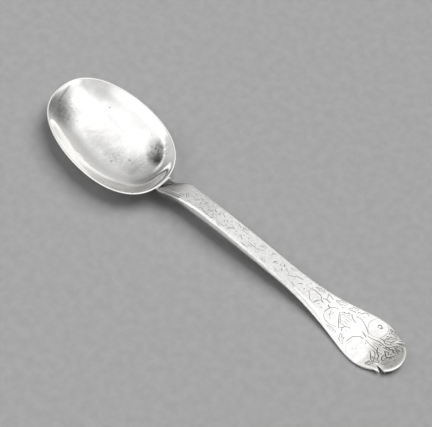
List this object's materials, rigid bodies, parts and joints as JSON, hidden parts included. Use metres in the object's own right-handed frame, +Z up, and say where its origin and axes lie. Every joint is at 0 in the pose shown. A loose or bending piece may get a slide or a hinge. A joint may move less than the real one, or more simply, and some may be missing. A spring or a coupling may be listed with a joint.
{
  "type": "spoon",
  "caption": "Table spoon with an egg-shaped bowl, a rat-tail rib beneath it and a flat stem that widens to a notched, lobed end.",
  "frame": {"origin": "on the table, under the middle of the spoon's box, with the spoon lying face up on its rat-tail and the underside of its end", "axes": "+X along the stem from bowl to end, +Z up out of the bowl"},
  "size_m": [0.195, 0.0428, 0.0109],
  "materials": {
    "bowl_silver": "silver, hand polished and softened by wear",
    "stem_silver": "silver, polished, engraved on top, with dark lines in the cuts",
    "solder": "silver solder, dull"
  },
  "bodies": {
    "root": {"bowl": "bowl_silver", "stem": "stem_silver", "rat_tail": "stem_silver", "heel_solder": "solder"}
  },
  "joints": []
}
